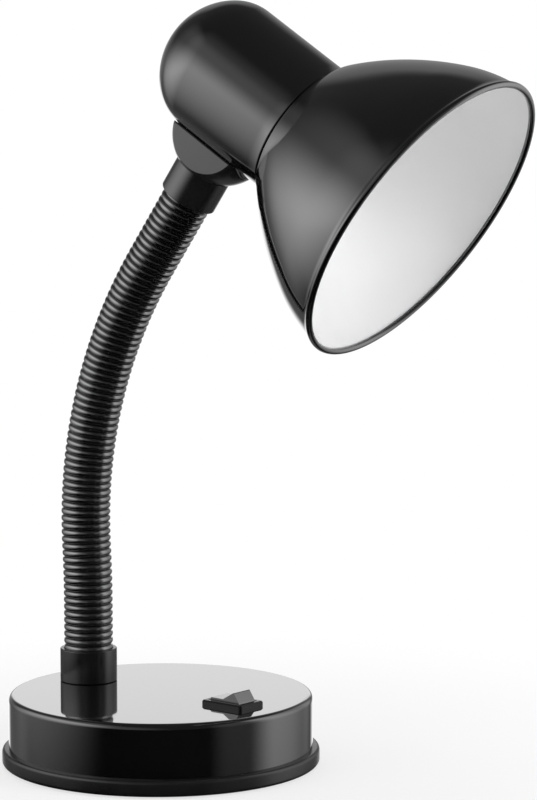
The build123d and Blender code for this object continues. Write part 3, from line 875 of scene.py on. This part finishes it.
class LAMP_OT_shade(Operator):
    """Bell shade: black outside, white inside, rolled rim"""

    bl_idname = "lamp.shade"
    bl_label = "Shade"

    def execute(self, context):
        sizes, tones = context.scene.lamp_sizes, context.scene.lamp_finishes
        black = enamel_finish("shade_enamel", tones.gloss_black)
        white = white_enamel_finish("shade_inside", tones.inside_white)
        wall, bead, front, neck = sizes.shade_wall, sizes.rim_bead, sizes.housing_front, sizes.shade_neck
        hollow, crest = sizes.shade_throat, sizes.shade_crown
        steep, flat = 78.0, 43.7
        shoulder = (front + 51.1 * MM, 59.4 * MM)
        rim = (front + 71.2 * MM, 64.5 * MM)
        throat = arc((front + sizes.shade_run, neck + hollow), hollow, -90, steep - 90, 8)
        side = math.radians(steep - 90)
        centre = (throat[-1][0] + crest * math.cos(side), throat[-1][1] + crest * math.sin(side))
        crown = arc(centre, crest, steep + 90, flat + 90, 10)
        flare, heading = tangent_arc(crown[-1], flat, shoulder, 40)
        lip, _ = tangent_arc(shoulder, heading, rim, 20)
        # The lip ends two steps early, where the rolled rim takes over.
        outer = [(front, HOLDER_WAY), (front, neck), *throat, *crown[1:], *flare[1:], *lip[1:-2]]
        inner = [(front + wall, HOLDER_WAY), (front + wall, neck - wall)]
        for before, point, after in zip(outer[1:], outer[2:], outer[3:] + outer[-1:]):
            turn = math.atan2(after[1] - before[1], after[0] - before[0])
            inner.append((point[0] + wall * math.sin(turn), point[1] - wall * math.cos(turn)))
        roll = arc((rim[0], rim[1] - wall / 2), bead, 150, -155, 30)
        profile = outer + roll + list(reversed(inner))
        # The white goes on round the last steps of the rolled rim.
        white_steps = len(inner) + 4
        bands = [0] * (len(profile) - white_steps) + [1] * white_steps
        bell = turned(
            "bell_shade", profile, head_frame(), [black, white], segments=224, bands=bands, crease=50.0,
        )
        carry(bell, "head", "shade_paint", "shade")
        return {"FINISHED"}


class LAMP_OT_holder(Operator):
    """Lampholder: moulded body, clamping ring, threaded screw shell and contacts"""

    bl_idname = "lamp.holder"
    bl_label = "Lampholder"

    def execute(self, context):
        sizes, tones = context.scene.lamp_sizes, context.scene.lamp_finishes
        moulding = moulded_finish("holder_moulding", tones.holder_white, rough=0.3, grain=900.0, depth=0.03)
        brass = metal_finish("contact_brass", tones.brass, rough=0.28)
        dress("lampholder_body", moulding)
        dress("centre_contact", brass)
        dress("holder_terminals", brass)
        head = head_frame()
        low, high, thin = 6 * MM, 29 * MM, 0.4 * MM
        mean, wave, rows, run_out = 13.75 * MM, 0.35 * MM, 92, 6
        turns = full_turn(96)
        inside = [(row, 0.0) for row in range(rows + 1)]
        outside = [(row, thin) for row in range(rows, -1, -1)]
        rings = []
        for row, outward in inside + outside:
            height = low + (high - low) * row / rows
            fade = min(1.0, row / run_out, (rows - row) / run_out)
            ring = []
            for turn in turns:
                phase = 2 * math.pi * (height / sizes.thread_pitch) - turn
                radius = mean + wave * fade * math.cos(phase) + outward
                ring.append((radius * math.cos(turn), radius * math.sin(turn), height))
            rings.append(ring)
        shell = skinned("threaded_shell", rings, [brass], head, crease=SOFT_CREASE)
        carry(shell, "head", "contact_brass", "screw_shell")

        start, end = 22.8 * MM, 28.8 * MM
        bore, out, ease = 20.05 * MM, 23.45 * MM, 0.6 * MM
        profile = [(start, bore), (start, out), *arc((end - ease, out - ease), ease, 90, 0, 6)]
        profile += arc((end - ease, bore + ease), ease, 0, -90, 6)
        ring = turned("clamp_ring", profile, head, [moulding], segments=120)
        deep, half, sill = 0.7 * MM, 1.1 * MM, start + 1.2 * MM
        cut(ring, [
            block(
                "notch", (out - deep, -half, sill), (out + MM, half, end + MM),
                head @ Matrix.Rotation(turn, 4, "Z"),
            )
            for turn in full_turn(12)
        ])
        carry(ring, "head", "holder_plastic", "shade_ring")
        return {"FINISHED"}


class LAMP_OT_fittings(Operator):
    """Hidden fittings: screws, posts, nipples, nuts, ballast and terminals"""

    bl_idname = "lamp.fittings"
    bl_label = "Fittings"

    def execute(self, context):
        tones = context.scene.lamp_finishes
        steel = metal_finish("fitting_steel", tones.plated_steel, rough=0.28)
        for node in (
            "cover_posts", "cover_screws", "foot_nipple", "foot_washer", "foot_nut",
            "head_nipple", "head_washer", "head_nut",
        ):
            dress(node, steel)
        dress("switch_terminals", metal_finish("blade_brass", tones.brass, rough=0.3))
        dress("ballast_weight", casting_finish("ballast_iron", tones.raw_iron))
        return {"FINISHED"}


def aimed(place, heading):
    """Placement of a camera or a lamp that looks along a heading."""
    return Matrix.Translation(place) @ heading.to_track_quat("-Z", "Y").to_matrix().to_4x4()


def soft_box(name, place, target, width, height, power):
    """A large rectangular studio lamp aimed at a point."""
    data = bpy.data.lights.new(name, "AREA")
    data.shape, data.size, data.size_y, data.energy = "RECTANGLE", width, height, power
    lamp = link_piece(name, data)
    lamp.matrix_world = aimed(place, target - place)
    lamp.visible_glossy = False


def reflector(name, place, along, low, high, power, glow):
    """A clear upright sheet that only reflections show, from low to high, lit by glow(along, rise)."""
    material = bpy.data.materials.new(name)
    material.use_nodes = True
    tree = material.node_tree
    tree.nodes.clear()
    field = Field(tree)
    where = field.add("ShaderNodeTexCoord", output=3)
    parts = field.add("ShaderNodeSeparateXYZ", inputs={0: where}).socket.node
    share = glow(Field(tree, parts.outputs[0]), Field(tree, parts.outputs[1]))
    clear = field.add("ShaderNodeBsdfTransparent")
    light = field.add("ShaderNodeEmission", inputs={"Color": WHITE, "Strength": power})
    mixed = field.add("ShaderNodeMixShader", inputs={0: share, 1: clear, 2: light})
    field.add("ShaderNodeOutputMaterial", inputs={"Surface": mixed})
    mesh = bpy.data.meshes.new(name)
    corners = [(low[0], low[1], 0), (high[0], low[1], 0), (high[0], high[1], 0), (low[0], high[1], 0)]
    mesh.from_pydata(corners, [], [(0, 1, 2, 3)])
    mesh.materials.append(material)
    card = link_piece(name, mesh)
    turn = Matrix((along, UP, along.cross(UP))).transposed().to_4x4()
    card.matrix_world = Matrix.Translation(place) @ turn
    card.visible_camera = card.visible_diffuse = card.visible_shadow = card.visible_transmission = False


def paper_floor():
    """Pale floor that keeps the lamp's shadow and, to the camera, fades to white round it."""
    material, shader, field = new_finish("floor_paper")
    tree = field.tree
    grain = object_noise(field, scale=300.0, detail=3.0)
    paper = grain.blend_to((0.84, 0.84, 0.84), (0.88, 0.88, 0.88))
    set_shader(field, shader, Base_Color=paper, Roughness=0.9)
    path = field.add("ShaderNodeLightPath").socket.node
    seen = Field(tree, path.outputs["Is Camera Ray"])
    where = field.add("ShaderNodeTexCoord", output=3)
    reach = field.add("ShaderNodeVectorMath", {"operation": "LENGTH"}, {0: where}, output=1)
    share = seen * reach.step(0.1, 0.3, 0.7, 1.0)
    glow = field.add("ShaderNodeEmission", inputs={"Color": WHITE, "Strength": 1.0})
    mixed = field.add("ShaderNodeMixShader", inputs={0: share, 1: Field(tree, shader.outputs[0]), 2: glow})
    output = next(node for node in tree.nodes if node.type == "OUTPUT_MATERIAL")
    tree.links.new(mixed.socket, output.inputs["Surface"])
    shape = bmesh.new()
    bmesh.ops.create_circle(shape, cap_ends=True, radius=4.0, segments=64)
    floor = meshed("floor", shape, [material])
    floor.visible_glossy = False


def studio_world(level, right):
    """White to the camera, a backdrop with its flank and fill to reflections, and even light to the rest."""
    world = bpy.data.worlds.new("studio")
    bpy.context.scene.world = world
    world.use_nodes = True
    tree = world.node_tree
    tree.nodes.clear()
    field = Field(tree)
    path = field.add("ShaderNodeLightPath").socket.node
    seen, mirrored = Field(tree, path.outputs["Is Camera Ray"]), Field(tree, path.outputs["Is Glossy Ray"])
    way = field.add("ShaderNodeTexCoord", output=0)

    def facing(heading):
        inputs = {0: way, 1: tuple(heading.normalized())}
        return field.add("ShaderNodeVectorMath", {"operation": "DOT_PRODUCT"}, inputs, output=1)

    height = facing(UP)
    spread = (1 - height * height).math("SQRT", 0.0)
    backdrop = (facing(level) / spread).step(0.9, 0.99) * height.step(-0.55, -0.25, 0.15, 1.0)
    backdrop = backdrop * height.step(-0.12, 0.0, 1.1, 0.19) * height.step(0.56, 0.74, 1.0, 0.0)
    flank = facing(level - right * 0.7 - UP * 0.2).step(0.85, 0.97, 0.0, 0.14)
    fill = facing(level * -0.7 - right * 0.7 + UP * 0.15).step(0.55, 1.0, 0.0, 0.35)
    fill = fill * height.step(-0.08, 0.12)
    mirrors = backdrop + flank + fill + height.step(-0.12, 0.08, 0.0, 0.07)
    even_light = 0.45
    strength = seen + (1 - seen) * (mirrored * mirrors + (1 - mirrored) * even_light)
    back = field.add("ShaderNodeBackground", inputs={"Color": WHITE, "Strength": strength})
    field.add("ShaderNodeOutputWorld", inputs={"Surface": back})


class LAMP_OT_stage(Operator):
    """Camera, pale floor, white backdrop, soft boxes and the cards that the gloss mirrors"""

    bl_idname = "lamp.stage"
    bl_label = "Stage"

    def execute(self, context):
        scene = context.scene
        scene.view_settings.view_transform = "Standard"
        data = bpy.data.cameras.new("view")
        data.sensor_fit, data.sensor_height, data.lens = "VERTICAL", 24.0, 102.0
        data.clip_start, data.clip_end = 0.01, 50.0
        camera = link_piece("view", data)
        camera.matrix_world = aimed(VIEW_FROM, VIEW_ALONG)
        scene.camera = camera

        level = Vector((VIEW_ALONG.x, VIEW_ALONG.y, 0.0)).normalized()
        right, near = Vector((level.y, -level.x, 0.0)), -level
        paper_floor()
        studio_world(level, right)

        target = Vector((0.02, 0.0, 0.16))
        soft_box(
            "right_box", target + right * 1.25 + near * 0.55 + UP * 0.25, target,
            width=0.7, height=1.2, power=14.5,
        )
        soft_box(
            "left_box", target - right * 1.2 + near * 0.75 + UP * 0.15, target,
            width=0.9, height=1.5, power=7.0,
        )
        soft_box(
            "top_box", target + UP * 1.5 + level * 0.2, target,
            width=1.2, height=0.9, power=8.0,
        )
        reflector(
            "rear_card", level * 0.6, right, low=(-0.3, 0.05), high=(0.3, 0.32), power=1.18,
            glow=lambda along, rise: rise.step(0.06, 0.1) * rise.step(0.2, 0.27, 1.0, 0.0)
            * along.step(-0.26, -0.16) * along.step(0.16, 0.26, 1.0, 0.0),
        )
        reflector(
            "left_card", right * -0.5, level, low=(-1.3, -0.3), high=(0.7, 1.2), power=3.75,
            glow=lambda along, rise: (along + rise * 0.48).step(-0.7, 0.3) * along.step(-0.4, 0.68, 1.0, 0.0)
            * rise.step(-0.27, 0.4) * rise.step(0.24, 0.66, 1.0, 0.12) * rise.step(0.75, 1.2, 1.0, 0.0),
        )
        reflector(
            "right_card", right * 0.5, level, low=(-0.75, -0.5), high=(1.3, 0.7), power=2.0,
            glow=lambda along, rise: (along.step(-0.7, -0.4, 0.0, 0.13) + along.step(-0.22, 0.02, 0.0, 0.87))
            * along.step(-0.15, 0.45, 1.0, 0.27) * along.step(0.5, 1.3, 1.0, 0.0)
            * rise.step(-0.46, 0.2) * rise.step(0.38, 0.72, 1.0, 0.0),
        )
        return {"FINISHED"}


class LAMP_PT_panel(Panel):
    """Lists the lamp's operators"""

    bl_idname = "LAMP_PT_panel"
    bl_label = "Table Lamp"
    bl_space_type = "VIEW_3D"
    bl_region_type = "UI"
    bl_category = "Lamp"

    def draw(self, context):
        for operator in OPERATORS:
            self.layout.operator(operator.bl_idname)
        for group in (context.scene.lamp_sizes, context.scene.lamp_finishes):
            box = self.layout.box()
            for name in group.bl_rna.properties.keys():
                if name not in {"rna_type", "name"}:
                    box.prop(group, name)


OPERATORS = (
    LAMP_OT_stage, LAMP_OT_base, LAMP_OT_switch, LAMP_OT_collars, LAMP_OT_neck,
    LAMP_OT_housing, LAMP_OT_shade, LAMP_OT_holder, LAMP_OT_fittings,
)
CLASSES = (LampSizes, LampFinishes, *OPERATORS, LAMP_PT_panel)


def register():
    for item in CLASSES:
        bpy.utils.register_class(item)
    bpy.types.Scene.lamp_sizes = PointerProperty(type=LampSizes)
    bpy.types.Scene.lamp_finishes = PointerProperty(type=LampFinishes)


def unregister():
    del bpy.types.Scene.lamp_finishes
    del bpy.types.Scene.lamp_sizes
    for item in reversed(CLASSES):
        bpy.utils.unregister_class(item)


def main():
    register()
    bpy.ops.lamp.stage()
    bpy.ops.lamp.base()
    bpy.ops.lamp.switch()
    bpy.ops.lamp.collars()
    bpy.ops.lamp.neck()
    bpy.ops.lamp.housing()
    bpy.ops.lamp.shade()
    bpy.ops.lamp.holder()
    bpy.ops.lamp.fittings()


if __name__ == "__main__":
    main()
